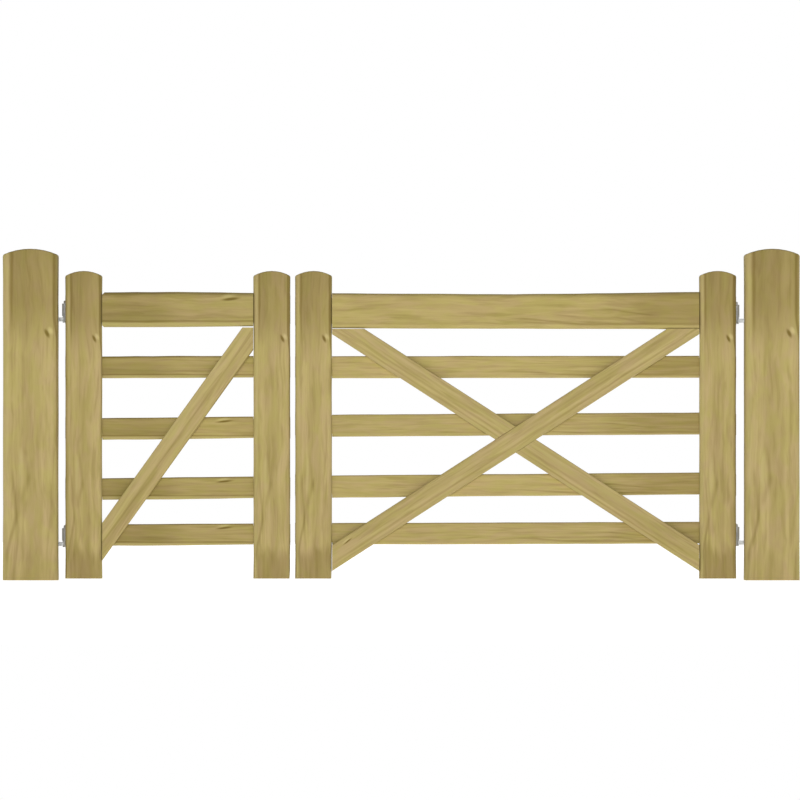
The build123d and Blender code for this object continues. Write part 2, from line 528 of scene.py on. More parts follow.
def figure_group() -> bpy.types.NodeTree:
    """Solid figure of a sawn softwood board, with Z along the board.

    Returns:
        A group that puts out growth rings, clouds, patches, broad and fine streaks, and fibres.
    """
    graph, given, out = new_group(
        "softwood_figure",
        {
            "Vector": Kind.VECTOR,
            "Seed": Kind.NUMBER,
            "Pith": Kind.VECTOR,
            "Stretch": Kind.NUMBER,
            "Wildness": Kind.NUMBER,
        },
        ("Rings", "Clouds", "Patches", "Broad", "Streaks", "Fibres", "Waves"),
    )
    seed = graph.node("ShaderNodeCombineXYZ")
    for place, factor in enumerate((1.37, 2.71, 5.13)):
        graph.feed(seed.inputs[place], graph.math("MULTIPLY", given["Seed"], factor))
    parts = graph.split(given["Vector"])
    sized = graph.node("ShaderNodeCombineXYZ")
    for place in range(2):
        graph.feed(sized.inputs[place], graph.math("MULTIPLY", parts[place], given["Stretch"]))
    graph.feed(sized.inputs[2], parts[2])
    moved = graph.vector("ADD", sized.outputs[0], seed.outputs[0])
    drift = graph.math("SUBTRACT", graph.noise(moved, (5.0, 5.0, 3.2), 2.0), 0.5)
    sway = graph.node("ShaderNodeCombineXYZ")
    graph.feed(sway.inputs[0], graph.math("MULTIPLY", drift, given["Wildness"]))
    across = graph.vector("ADD", moved, sway.outputs[0])
    graph.feed(out["Clouds"], graph.noise(across, (25.0, 25.0, 6.5), 2.0, 0.4))
    elsewhere = graph.vector("ADD", across, (3.3, 7.7, 1.1))
    graph.feed(out["Patches"], graph.noise(elsewhere, (19.0, 19.0, 11.0), 1.5, 0.6))
    graph.feed(out["Broad"], graph.noise(across, (52.0, 52.0, 6.0), 2.0, 0.4))
    graph.feed(out["Streaks"], graph.noise(across, (120.0, 120.0, 9.0), 3.0, 0.3))
    graph.feed(out["Fibres"], graph.noise(across, (520.0, 520.0, 26.0), 2.0))
    swayed = graph.vector("ADD", sized.outputs[0], sway.outputs[0])
    centred = graph.vector("SUBTRACT", swayed, given["Pith"])
    for output, scale, distortion in (("Rings", 52.0, 4.0), ("Waves", 15.0, 3.0)):
        wave = graph.node("ShaderNodeTexWave", wave_type="RINGS", rings_direction="Z")
        drawn_out = graph.vector("MULTIPLY", centred, (1.0, 1.0, 0.06))
        graph.fill(wave, Vector=drawn_out, Scale=scale, Distortion=distortion)
        graph.fill(wave, Detail=2.0, Detail_Scale=0.5)
        graph.feed(out[output], wave.outputs["Fac"])
    return graph.tree


def edge_group() -> bpy.types.NodeTree:
    """Painted light along a board's lit arris and a painted shade line along the other one.

    Returns:
        A group that puts out the painted light band, the painted shade line beside it and the
        painted dark line.
    """
    graph, given, out = new_group(
        "painted_arris_light_and_shade",
        {
            "Vector": Kind.VECTOR,
            "Half Width": Kind.NUMBER,
            "Half Length": Kind.NUMBER,
            "Waver": Kind.NUMBER,
            "Band": Kind.NUMBER,
            "Line Place": Kind.NUMBER,
            "Line Width": Kind.NUMBER,
            "Line Foot": Kind.NUMBER,
        },
        ("Pale", "Seam", "Line", "Across", "Up"),
    )
    parts = graph.split(given["Vector"])
    plain = graph.math("DIVIDE", parts[0], given["Half Width"])
    across = graph.math("ADD", plain, graph.math("MULTIPLY_ADD", given["Waver"], 0.12, -0.06))
    up = graph.math("DIVIDE", parts[2], given["Half Length"])
    graph.feed(out["Across"], across)
    graph.feed(out["Up"], up)
    inner = graph.math("SUBTRACT", given["Band"], 1.0)
    start, end = (graph.math(way, inner, 0.05) for way in ("ADD", "SUBTRACT"))
    # Painted light: the pale band along the lit arris.
    graph.feed(out["Pale"], graph.step(across, start, end))
    # Painted shade: a soft darker line where that arris meets the face.
    arris_shade_place = graph.math("ADD", inner, 0.09)
    from_seam = graph.math("ABSOLUTE", graph.math("SUBTRACT", across, arris_shade_place))
    graph.feed(out["Seam"], graph.step(from_seam, 0.11, 0.0))
    # Painted shade: the dark line along the other arris, moving and thinning towards the foot.
    lower = graph.step(up, 0.62, 0.42)
    moves = graph.math("SUBTRACT", given["Line Foot"], given["Line Place"])
    place = graph.math("MULTIPLY_ADD", lower, moves, given["Line Place"])
    from_line = graph.math("ABSOLUTE", graph.math("SUBTRACT", plain, place))
    thinner = graph.math("MULTIPLY_ADD", lower, -0.45, 1.0)
    width = graph.math("MULTIPLY", given["Line Width"], thinner)
    graph.feed(out["Line"], graph.step(from_line, width, graph.math("MULTIPLY", width, 0.25)))
    return graph.tree


def knot_group() -> bpy.types.NodeTree:
    """Dark slanting knot with the pale swirl beside it.

    Returns:
        A group that puts out the knot's core and its halo.
    """
    graph, given, out = new_group(
        "knot",
        {"Vector": Kind.VECTOR, "Place": Kind.VECTOR, "Size": Kind.VECTOR, "Tilt": Kind.NUMBER},
        ("Core", "Halo"),
    )
    centred = graph.vector("SUBTRACT", given["Vector"], given["Place"])
    turned = graph.node("ShaderNodeVectorRotate", rotation_type="Y_AXIS")
    graph.fill(turned, Vector=centred, Angle=given["Tilt"])
    scaled = graph.vector("DIVIDE", turned.outputs[0], given["Size"])
    graph.feed(out["Core"], graph.step(graph.vector("LENGTH", scaled), 1.0, 0.25))
    beside = graph.vector("SUBTRACT", scaled, (1.6, 0.0, 0.1))
    swirl = graph.vector("MULTIPLY", beside, (0.85, 1.0, 1.3))
    graph.feed(out["Halo"], graph.step(graph.vector("LENGTH", swirl), 1.1, 0.15))
    return graph.tree


def streak_group() -> bpy.types.NodeTree:
    """Soft line, darker or lighter, that wanders along a board between two heights.

    Returns:
        A group that puts out the line's mask.
    """
    graph, given, out = new_group(
        "grain_and_painted_light_streak",
        {
            "Across": Kind.NUMBER,
            "Up": Kind.NUMBER,
            "Start": Kind.VECTOR,
            "End": Kind.VECTOR,
            "Width": Kind.NUMBER,
        },
        ("Streak",),
    )
    starts, ends = (graph.split(given[name]) for name in ("Start", "End"))
    run = graph.math("SUBTRACT", ends[2], starts[2])
    share = graph.math("DIVIDE", graph.math("SUBTRACT", given["Up"], starts[2]), run)
    bent = graph.step(share, 0.0, 1.0)
    moves = graph.math("SUBTRACT", ends[0], starts[0])
    place = graph.math("MULTIPLY_ADD", bent, moves, starts[0])
    away = graph.math("ABSOLUTE", graph.math("SUBTRACT", given["Across"], place))
    line = graph.step(away, given["Width"], 0.0)
    fades = graph.math("MULTIPLY", graph.step(share, -0.15, 0.2), graph.step(share, 1.15, 0.8))
    graph.feed(out["Streak"], graph.math("MULTIPLY", line, fades))
    return graph.tree


@dataclass(frozen=True)
class TimberTones:
    """Display colours of the treated softwood, and the factors of its patches."""

    warm: Colour = (183, 163, 110)
    olive: Colour = (176, 159, 100)
    grey: Colour = (151, 136, 82)
    pale: Colour = (188, 174, 116)
    # Painted light, laid along one rounded arris of each board.
    painted_arris_light: Colour = (178, 164, 108)
    # Darker tone of the grain and the knots, also used for the painted shade along the arrises and
    # the head rims.
    shade: Colour = (116, 97, 40)
    glow: Colour = (203, 188, 130)
    end: Colour = (166, 145, 94)
    end_dark: Colour = (138, 117, 68)
    rosy_patch: Rgba = (1.0, 0.975, 1.045, 1.0)
    olive_patch: Rgba = (1.0, 1.023, 0.95, 1.0)


@dataclass(frozen=True)
class Knot:
    """Knot on a board's face, placed from the board's middle in shares of its half sizes."""

    across: float
    up: float
    radius: float = 0.006
    length: float = 0.012
    tilt: float = 0.38


@dataclass(frozen=True)
class Streak:
    """Soft wandering line, from one place to another in shares of the half sizes."""

    start: tuple[float, float]
    end: tuple[float, float]
    width: float = 0.1
    strength: float = 0.3
    light: bool = False


@dataclass(frozen=True)
class BoardLook:
    """How one board's figure lies, and what shows in it.

    The board's own axes are X across it from the pale edge to the dark one, Y from
    the front to the back, and Z along it. They are turned about the world's Y.
    """

    turn: float = 0.0
    seed: float = 0.0
    gain: float = 1.0
    tint: float = 1.0
    # From band down to the painted light strength: where and how strongly light and shade are
    # painted along the rounded arrises, a pale band on one, a darker line beside it and a dark line
    # on the other.
    band: float = 0.24
    line: tuple[float, float] = (0.87, 0.98)
    line_width: float = 0.085
    line_strength: float = 0.62
    line_at_foot: float = 0.3
    arris_shade_strength: float = 0.6
    arris_shade_even: float = 0.15
    painted_light_strength: float = 0.35
    head: tuple[float, float, float] = (0.34, 0.72, 0.43)
    foot: tuple[float, float, float] = (-0.78, -0.9, 0.08)
    stretch: float = 1.0
    wildness: float = 0.05
    pith: tuple[float, float] = (0.02, 0.05)
    knots: tuple[Knot, ...] = ()
    streaks: tuple[Streak, ...] = ()


class Timber:
    """Treated softwood finish, laid along each board and different on each."""

    def __init__(self, tones: TimberTones) -> None:
        """Builds the shared groups once and keeps the tones."""
        self.tones = tones
        self.figure = figure_group()
        self.edges = edge_group()
        self.knot = knot_group()
        self.streak = streak_group()

    def lay(
        self, name: str, look: BoardLook, middle: Vector, halves: Vector
    ) -> bpy.types.Material:
        """Makes the finish of one board.

        Args:
            name: Name of the material.
            look: How the board's figure lies.
            middle: Middle of the board.
            halves: Half of its width, depth and length, along its own axes.

        Returns:
            The material.
        """
        material, graph, shader = new_material(name)
        tones = self.tones
        place = graph.node("ShaderNodeTexCoord").outputs
        mapping = graph.node("ShaderNodeMapping", vector_type="TEXTURE")
        graph.fill(mapping, Vector=place["Object"], Location=middle)
        board = graph.fill(mapping, Rotation=(0.0, look.turn, 0.0)).outputs[0]
        figure = graph.group(
            self.figure,
            Vector=board,
            Seed=look.seed,
            Pith=(*look.pith, 0.0),
            Stretch=look.stretch,
            Wildness=look.wildness,
        )
        edges = graph.group(
            self.edges,
            Vector=board,
            Half_Width=halves.x,
            Half_Length=halves.z,
            Waver=figure["Broad"],
            Band=look.band,
            Line_Place=look.line[0],
            Line_Foot=look.line[1],
            Line_Width=look.line_width,
        )
        ragged = graph.math("MULTIPLY_ADD", figure["Clouds"], 0.24, -0.12)
        ragged = graph.math("ADD", edges["Up"], ragged)
        head = graph.step(ragged, *look.head[:2])
        foot = graph.step(ragged, *look.foot[:2])
        colour = self.grow(graph, figure, edges, head)
        colour = self.edge(graph, look, colour, edges, head, foot, place["Normal"])
        colour, height = self.mark(graph, look, colour, figure, edges, board, halves)
        # Faces turned towards the grain are darkened: painted shade on the chamfered rims of the
        # barrel heads, and partly the darker, ringed end grain that the cut ends really have.
        grain_way = (math.sin(look.turn), 0.0, math.cos(look.turn))
        cut = graph.vector("DOT_PRODUCT", place["Normal"], grain_way)
        cut = graph.math("ABSOLUTE", cut)
        colour = graph.over(colour, linear(tones.shade), graph.step(cut, 0.3, 0.6, 0.0, 0.45))
        rings = graph.step(figure["Rings"], 0.3, 0.8)
        rough_end = graph.mix(rings, linear(tones.end), linear(tones.end_dark))
        colour = graph.over(colour, rough_end, graph.step(cut, 0.8, 0.93), 0.85)
        share = graph.step(figure["Patches"], 0.34, 0.66)
        patches = graph.mix(share, tones.rosy_patch, tones.olive_patch)
        for factor in (patches, (look.gain, look.gain, look.gain * look.tint, 1.0)):
            colour = graph.mix(1.0, colour, factor, "MULTIPLY")
        bump = graph.node("ShaderNodeBump")
        graph.fill(bump, Strength=0.35, Distance=0.0007, Height=height)
        graph.fill(
            shader,
            Base_Color=colour,
            Roughness=graph.step(figure["Streaks"], 0.2, 0.8, 0.68, 0.82),
            Normal=bump.outputs[0],
            Specular_IOR_Level=0.2,
        )
        return material

    def grow(
        self, graph: Graph, figure: Sequence[Socket], edges: Sequence[Socket], head: Socket
    ) -> Socket:
        """Colour of the wood itself: clouds, the grey core near the head, and the figure.

        Args:
            graph: The material's graph.
            figure: Outputs of the figure group.
            edges: Outputs of the edge group.
            head: Mask of the board's head.

        Returns:
            The colour.
        """
        tones = self.tones
        shade, pale = linear(tones.shade), linear(tones.pale)
        clouds = graph.step(figure["Clouds"], 0.36, 0.62)
        colour = graph.mix(clouds, linear(tones.olive), linear(tones.warm))
        from_core = graph.math("ABSOLUTE", graph.math("ADD", edges["Across"], 0.38))
        colour = graph.over(colour, linear(tones.grey), graph.step(from_core, 0.5, 0.1), head, 0.55)
        for part, start, end, strength, tone in (
            ("Broad", 0.52, 0.28, 0.25, shade),
            ("Broad", 0.5, 0.76, 0.17, pale),
            ("Streaks", 0.5, 0.22, 0.15, shade),
            ("Streaks", 0.5, 0.76, 0.15, pale),
            ("Fibres", 0.5, 0.25, 0.08, shade),
            ("Rings", 0.55, 0.95, 0.05, shade),
        ):
            colour = graph.over(colour, tone, graph.step(figure[part], start, end), strength)
        lower = graph.step(edges["Up"], 0.05, -0.35, 0.03, 0.16)
        return graph.over(colour, shade, graph.step(figure["Waves"], 0.62, 0.98), lower)

    def edge(
        self,
        graph: Graph,
        look: BoardLook,
        colour: Socket,
        edges: Sequence[Socket],
        head: Socket,
        foot: Socket,
        normal: Socket,
    ) -> Socket:
        """Darker head and foot, painted shade beside the lit arris, painted light along it and a
        painted shade line along the other arris.

        Args:
            graph: The material's graph.
            look: How the board's figure lies.
            colour: The colour so far.
            edges: Outputs of the edge group.
            head: Mask of the board's head.
            foot: Mask of its foot.
            normal: The surface's normal.

        Returns:
            The colour.
        """
        shade = linear(self.tones.shade)
        inside = graph.math("MULTIPLY_ADD", edges["Pale"], -0.6, 1.0)
        for mask, strength in ((head, look.head[2]), (foot, look.foot[2])):
            colour = graph.over(colour, shade, mask, inside, strength)
        even = graph.math("MULTIPLY_ADD", head, 1.0 - look.arris_shade_even, look.arris_shade_even)
        # Painted shade beside the lit arris, then painted light along that arris.
        colour = graph.over(colour, shade, edges["Seam"], even, look.arris_shade_strength)
        colour = graph.over(colour, linear(self.tones.painted_arris_light), edges["Pale"], look.painted_light_strength)
        # Painted shade along the arris that turns from the light, on the broad faces only and
        # fainter towards the foot.
        broadside = graph.step(graph.math("ABSOLUTE", graph.split(normal)[1]), 0.1, 0.5)
        strength = look.line_strength
        fading = graph.step(edges["Up"], -0.5, 0.3, look.line_at_foot * strength, strength)
        return graph.over(colour, shade, edges["Line"], broadside, fading)

    def mark(
        self,
        graph: Graph,
        look: BoardLook,
        colour: Socket,
        figure: Sequence[Socket],
        edges: Sequence[Socket],
        board: Socket,
        halves: Vector,
    ) -> tuple[Socket, Socket]:
        """The board's streaks and knots.

        Args:
            graph: The material's graph.
            look: How the board's figure lies.
            colour: The colour so far.
            figure: Outputs of the figure group.
            edges: Outputs of the edge group.
            board: Place along the board's own axes.
            halves: Half of its width, depth and length, along its own axes.

        Returns:
            The colour, and the height of the surface, which dips at the knots.
        """
        tones = self.tones
        shade, pale = linear(tones.shade), linear(tones.pale)
        # Mostly grain lines; on the uprights one light streak is painted light along an arris.
        for streak in look.streaks:
            mask = graph.group(
                self.streak,
                Across=edges["Across"],
                Up=edges["Up"],
                Start=(streak.start[0], 0.0, streak.start[1]),
                End=(streak.end[0], 0.0, streak.end[1]),
                Width=streak.width,
            )[0]
            colour = graph.over(colour, pale if streak.light else shade, mask, streak.strength)
        rings = graph.math("MULTIPLY", figure["Rings"], 0.4)
        height = graph.math("ADD", rings, graph.math("MULTIPLY", figure["Fibres"], 0.6))
        for knot in look.knots:
            masks = graph.group(
                self.knot,
                Vector=board,
                Place=(knot.across * halves.x, -halves.y, knot.up * halves.z),
                Size=(knot.radius, 0.03, knot.length),
                Tilt=knot.tilt,
            )
            colour = graph.over(colour, linear(tones.glow), masks["Halo"], 0.62)
            colour = graph.over(colour, shade, masks["Core"], 0.95)
            height = graph.math("SUBTRACT", height, masks["Core"])
        return colour, height


@dataclass(frozen=True)
class Galvanised:
    """Hot-dip galvanised steel, with a soft spangle and duller clouds."""

    zinc: Colour = (216, 219, 221)
    dull: Colour = (184, 188, 191)
    spangle: float = 160.0

    def make(self) -> bpy.types.Material:
        """The material of all the ironwork."""
        material, graph, shader = new_material("galvanised_steel")
        place = graph.node("ShaderNodeTexCoord").outputs["Object"]
        cells = graph.node("ShaderNodeTexVoronoi", feature="F1")
        graph.fill(cells, Scale=self.spangle, Vector=place)
        cell = graph.fill_first(graph.node("ShaderNodeSeparateColor"), cells.outputs["Color"])
        clouds = graph.step(graph.noise(place, (22.0, 22.0, 22.0), 4.0), 0.35, 0.7, 0.0, 0.65)
        tone = graph.math("ADD", graph.math("MULTIPLY", cell.outputs[0], 0.35), clouds)
        bump = graph.node("ShaderNodeBump")
        grit = graph.noise(place, (420.0, 420.0, 420.0), 3.0)
        graph.fill(bump, Strength=0.2, Distance=0.0004, Height=grit)
        graph.fill(
            shader,
            Base_Color=graph.mix(tone, linear(self.dull), linear(self.zinc)),
            Roughness=graph.math("MULTIPLY_ADD", tone, -0.15, 0.55),
            Metallic=0.25,
            Normal=bump.outputs[0],
        )
        return material


# ---------------------------------------------------------------------------
# Timbers
# ---------------------------------------------------------------------------


@dataclass(frozen=True)
class Mortise:
    """Through mortise in a stile, widened at its outer edge for the two wedges."""

    edge: float
    inward: int
    width: float
    level: float
    tenon_thickness: float
    tenon_height: float
    wedge_length: float = 0.06
    wedge_thick: float = 0.006
    wedge_thin: float = 0.0015

    def cutters(self) -> list[Piece]:
        """Solids to take out of the stile: the slot, then a tapered pocket above and below."""
        thick = self.tenon_thickness / 2 + JOINT_GAP
        tall = self.tenon_height / 2 + JOINT_GAP
        outer = self.edge - self.inward * BEYOND
        inner = self.edge + self.inward * self.wedge_length
        far = self.edge + self.inward * (self.width + BEYOND)
        low = (min(outer, far), -thick, self.level - tall)
        high = (max(outer, far), thick, self.level + tall)
        made = [block("slot", low, high)]
        for away in (-1, 1):
            face = self.level + away * (tall + self.wedge_thick)
            xs, zs = sorted((outer, inner)), sorted((self.level, face))
            pocket = block("pocket", (xs[0], -thick, zs[0]), (xs[1], thick, zs[1]))
            taper = (0, 0, -away * (self.wedge_thick - self.wedge_thin))
            shift(pocket, taper, lambda c, z=face: close(c[0].x, inner) and close(c[0].z, z))
            made.append(pocket)
        return made


@dataclass
class Upright:
    """Upright timber with rounded arrises and a shallow barrel head: a post or a stile."""

    node: str
    rise: float
    arris: float
    head_chamfer: float
    look: BoardLook
    slot: Slot
    body: Body
    foot_nick: float = 0.0
    foot_nick_height: float = 0.03
    mortises: list[Mortise] = field(default_factory=list)

    def build(self, timber: Timber) -> None:
        """Models the upright over its node and dresses it.

        Args:
            timber: The finish.
        """
        low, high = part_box(self.node)
        middle = (low + high) / 2
        half_width = (high.x - low.x) / 2
        shoulder = high.z - self.rise
        piece = block(f"{self.node}_timber", low, (high.x, high.y, shoulder))
        round_over(piece, self.arris, 5, along(Axis.Z))
        score(piece, Axis.X, low.x, high.x, (high.x - low.x) / 8)
        score(piece, Axis.Y, low.y, high.y, (high.y - low.y) / 2)
        radius = (half_width**2 + self.rise**2) / (2 * self.rise)
        tops = {
            round(corner.co.x, 5)
            for corner in piece.data.vertices
            if corner.co.z > shoulder - SAME_PLACE
        }
        for top in sorted(tops):
            lift = math.sqrt(radius**2 - (top - middle.x) ** 2) - (radius - self.rise)

            def on_column(c: list[Vector], x: float = top) -> bool:
                """Whether a corner is one of this column's that are still level."""
                return abs(c[0].x - x) < 2e-5 and shoulder - SAME_PLACE < c[0].z < shoulder + 1e-7

            shift(piece, (0, 0, lift), on_column)
        self.ease_head(piece)
        score(piece, Axis.Z, low.z, shoulder, 0.09)
        if self.foot_nick:
            corner = (high.x - self.foot_nick, 0.0, low.z)
            saw(piece, corner, (self.foot_nick_height, 0.0, -self.foot_nick), drop=True)
        if self.mortises:
            carve(piece, [cutter for mortise in self.mortises for cutter in mortise.cutters()])
        foot, neck = low.z + 0.01, shoulder - 0.03
        wander(
            piece,
            "NORMAL",
            reach=0.0022,
            patch=0.16,
            inward=True,
            steady=lambda c: 0.0 if c.z < foot or c.z > neck else 1.0,
        )
        polish(piece)
        halves = (high - low) / 2
        material = timber.lay(f"{self.node}_finish", self.look, middle, halves)
        hand_over(piece, material, self.slot, self.body, self.node)

    def ease_head(self, piece: Piece) -> None:
        """Chamfers the rim of the barrel head, where a face that looks up ends."""
        mesh = piece.data
        uses: dict[tuple[int, int], int] = {}
        for face in mesh.polygons:
            if face.normal.z > 0.5:
                for key in face.edge_keys:
                    uses[key] = uses.get(key, 0) + 1

        def ends(corners: Sequence[Vector]) -> tuple[Point, ...]:
            """An edge's two ends, in an order of their own."""
            return tuple(sorted(tuple(corner) for corner in corners))

        single = [key for key, count in uses.items() if count == 1]
        rim = {ends([mesh.vertices[corner].co for corner in key]) for key in single}
        round_over(piece, self.head_chamfer, 2, lambda c: ends(c) in rim)


@dataclass
class Board:
    """Rail or bar between two stiles, with a tenon through each of them.

    The ends hold how far the upper and lower edges wander from the node's, in
    metres, at the left end, in the middle and at the right end.
    """

    node: str
    look: BoardLook
    body: Body
    upper: Ends
    lower: Ends
    nicks: tuple[float, float] = (0.0, 0.0)
    arris: float = 0.006
    tenon_thickness: float = 0.022
    tenon_height: float = 0.072

    def build(self, left: float, right: float, timber: Timber) -> None:
        """Models the board over its node and dresses it.

        Args:
            left: Where its left shoulder meets the stile.
            right: Where its right shoulder meets the stile.
            timber: The finish.
        """
        low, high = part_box(self.node)
        middle = Vector(((left + right) / 2, (low.y + high.y) / 2, (low.z + high.z) / 2))
        piece = block(f"{self.node}_timber", (left, low.y, low.z), (right, high.y, high.z))
        round_over(piece, self.arris, 4, along(Axis.X))
        saw(piece, middle, Axis.X.unit)
        for x, top, bottom in zip((left, middle.x, right), self.upper, self.lower):
            shift(piece, (0, 0, top), lambda c, x=x: close(c[0].x, x) and c[0].z > middle.z)
            shift(piece, (0, 0, bottom), lambda c, x=x: close(c[0].x, x) and c[0].z < middle.z)
        upper_nick, lower_nick = self.nicks
        if upper_nick:
            saw(piece, (left, 0, high.z - upper_nick), (-1, 0, 1), drop=True)
            saw(piece, (left, 0, low.z + lower_nick), (-1, 0, -1), drop=True)
        score(piece, Axis.X, left, right, 0.07)
        for side in (-1, 1):
            saw(piece, (0, 0, middle.z + side * self.tenon_height / 2), Axis.Z.unit)
            if self.tenon_thickness < high.y - low.y - SAME_PLACE:
                saw(piece, (0, side * self.tenon_thickness / 2, 0), Axis.Y.unit)
        still = 0.06
        wander(
            piece,
            "Z",
            reach=0.0026,
            patch=0.14,
            inward=False,
            steady=lambda c: min(1.0, max(0.0, min(c.x - left, right - c.x) / still)),
        )
        for end, way in ((left, low.x - left), (right, high.x - right)):
            if pick(piece, Element.FACE, self.at_tenon(end, middle.z)):
                bpy.ops.mesh.extrude_region_move(TRANSFORM_OT_translate={"value": (way, 0, 0)})
            bpy.ops.object.mode_set(mode="OBJECT")
        polish(piece)
        halves = Vector(((high.z - low.z) / 2, (high.y - low.y) / 2, (right - left) / 2))
        material = timber.lay(f"{self.node}_finish", self.look, middle, halves)
        hand_over(piece, material, Slot.BAR, self.body, self.node)

    def at_tenon(self, end: float, level: float) -> Test:
        """Test for the faces of an end that its tenon grows from."""
        deep, tall = self.tenon_thickness / 2 + SAME_PLACE, self.tenon_height / 2 + SAME_PLACE

        def grows(corners: list[Vector]) -> bool:
            """Whether all of a face's corners are on the end, within the tenon."""
            return all(
                close(c.x, end) and abs(c.y) < deep and abs(c.z - level) < tall for c in corners
            )

        return grows


@dataclass
class Brace:
    """Slanting bar on the front of a leaf, cut to the stiles and the top rail.

    The lower edge meets one stile at the foot level and the other at the head level.
    """

    node: str
    foot_level: float
    head_level: float
    rises_right: bool
    look: BoardLook
    body: Body
    width: float = 0.088
    thickness: float = 0.022
    arris: float = 0.003
    spare: float = 0.4

    @property
    def left_level(self) -> float:
        """Level of the lower edge at the left stile."""
        return self.foot_level if self.rises_right else self.head_level

    def slope(self, left: float, right: float) -> float:
        """Angle of the brace above level, negative where it falls to the right."""
        rise = math.atan2(self.head_level - self.foot_level, right - left)
        return rise if self.rises_right else -rise

    def blank(
        self, name: str, left: float, right: float, near: float, far: float, extra: float = 0.0
    ) -> Piece:
        """Uncut bar on the brace's line between two depths.

        Args:
            name: Name of the new object.
            left: Inner edge of the left stile.
            right: Inner edge of the right stile.
            near: Depth of its front face.
            far: Depth of its back face.
            extra: How much wider than the brace it is on each edge.

        Returns:
            The new object.
        """
        end = math.hypot(right - left, self.head_level - self.foot_level) + self.spare
        piece = block(name, (-self.spare, near, -extra), (end, far, self.width + extra))
        if not extra:
            round_over(piece, self.arris, 3, along(Axis.X))
            score(piece, Axis.X, -self.spare, end, 0.09)
        piece.rotation_euler = (0.0, -self.slope(left, right), 0.0)
        piece.location = (left, 0.0, self.left_level)
        settle(piece)
        return piece

    def build(
        self, left: float, right: float, rail: float, timber: Timber, crossing: "Brace | None"
    ) -> None:
        """Models the brace over its node and dresses it.

        Args:
            left: Inner edge of the left stile.
            right: Inner edge of the right stile.
            rail: Level of the top rail's underside.
            timber: The finish.
            crossing: The brace that it is halved over, which keeps the other half, or None.
        """
        low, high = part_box(self.node)
        piece = self.blank(f"{self.node}_timber", left, right, low.y, high.y)
        saw(piece, (left, 0, 0), (-1, 0, 0), drop=True)
        saw(piece, (right, 0, 0), (1, 0, 0), drop=True)
        saw(piece, (0, 0, rail), (0, 0, 1), drop=True)
        if crossing:
            half = (low.y + high.y) / 2
            sides = (half, high.y + BEYOND) if self.rises_right else (low.y - BEYOND, half)
            carve(piece, [crossing.blank("halving", left, right, *sides, extra=JOINT_GAP)])
        polish(piece)
        turn, slope = self.look.turn, self.slope(left, right)
        grain = Vector((abs(math.sin(turn)), 0.0, abs(math.cos(turn))))
        halves = Vector((self.width / 2, self.thickness / 2, (high - low).dot(grain) / 2))
        level = (self.foot_level + self.head_level) / 2
        centre = Vector(((left + right) / 2, ((low + high) / 2).y, level))
        centre.x -= math.sin(slope) * self.width / 2
        centre.z += math.cos(slope) * self.width / 2
        material = timber.lay(f"{self.node}_finish", self.look, centre, halves)
        hand_over(piece, material, Slot.BRACE, self.body, self.node)


# ---------------------------------------------------------------------------
# Sub-assemblies
# ---------------------------------------------------------------------------

BOARD_TURN = -QUARTER_TURN
NO_HEAD = (2.0, 3.0, 0.0)
NO_FOOT = (-2.0, -3.0, 0.0)
UPRIGHT_STREAKS = (
    Streak((-0.14, 0.62), (-0.16, -0.3), 0.36, 0.17),
    Streak((0.16, 1.3), (0.2, 0.5), 0.32, 0.13),
    Streak((0.3, 0.5), (0.2, -0.25), 0.75, 0.06),
    Streak((-0.63, -0.34), (-0.5, -0.64)),
    Streak((-0.5, -0.58), (-0.84, -0.88), strength=0.38),
    Streak((-0.84, -0.82), (-0.86, -1.05), 0.13),
    Streak((-0.2, -0.18), (-0.06, -0.42), 0.14, 0.26),
    Streak((-0.06, -0.36), (-0.3, -0.54), 0.17, 0.26),
    Streak((-0.34, -0.22), (-0.36, -0.44), 0.15, 0.4, light=True),
    Streak((-0.08, -0.82), (-0.18, -1.05), 0.22, 0.2),
    Streak((0.68, -0.42), (0.76, -0.72), 0.24, 0.14),
    # Painted light along the lower part of the arris that turns from the sun.
    Streak((0.97, -0.25), (0.97, -1.2), 0.14, 0.4, light=True),
)
STILE_STREAKS = (
    *UPRIGHT_STREAKS,
    Streak((-0.99, -0.8), (-0.99, -1.3), 0.1, 0.35),
    Streak((-0.86, -0.8), (-0.86, -1.3), 0.05, 0.7, light=True),
)
WIDE_STREAKS = (
    Streak((-0.42, 0.02), (-0.73, -0.38), strength=0.34),
    Streak((-0.75, -0.32), (-0.7, -0.78), 0.13, 0.26),
    Streak((-0.74, 0.05), (-0.86, -0.3), 0.14, 0.35, light=True),
    Streak((-0.05, -0.18), (0.08, -0.52), 0.15, 0.16),
    Streak((0.08, -0.48), (-0.26, -0.78), 0.09, 0.36),
    Streak((0.26, -0.46), (0.1, -0.66), 0.1, 0.3, light=True),
    Streak((-0.34, -0.52), (-0.62, -0.72), strength=0.26),
)
BRACE_STREAKS = (
    Streak((0.02, 1.1), (0.08, -1.1), 0.14, 0.26),
    Streak((0.42, 1.1), (0.36, -1.1), 0.4, 0.12),
    Streak((-0.5, 1.1), (-0.4, -1.1), 0.4, 0.22, light=True),
    Streak((0.78, 1.1), (0.74, -1.1), 0.12, 0.14),
)
RISING_STREAKS = (
    Streak((-0.4, 1.1), (-0.43, -1.1), 0.16, 0.3),
    Streak((0.44, 1.1), (0.36, -1.1), 0.15, 0.12),
    Streak((0.9, 1.1), (0.86, -1.1), 0.16, 0.14),
    Streak((-0.67, 1.1), (-0.63, -1.1), 0.13, 0.14, light=True),
    Streak((-0.86, 1.1), (-0.84, -1.1), 0.26, 0.13),
    Streak((-0.17, 1.1), (-0.15, -1.1), 0.15, 0.14, light=True),
)
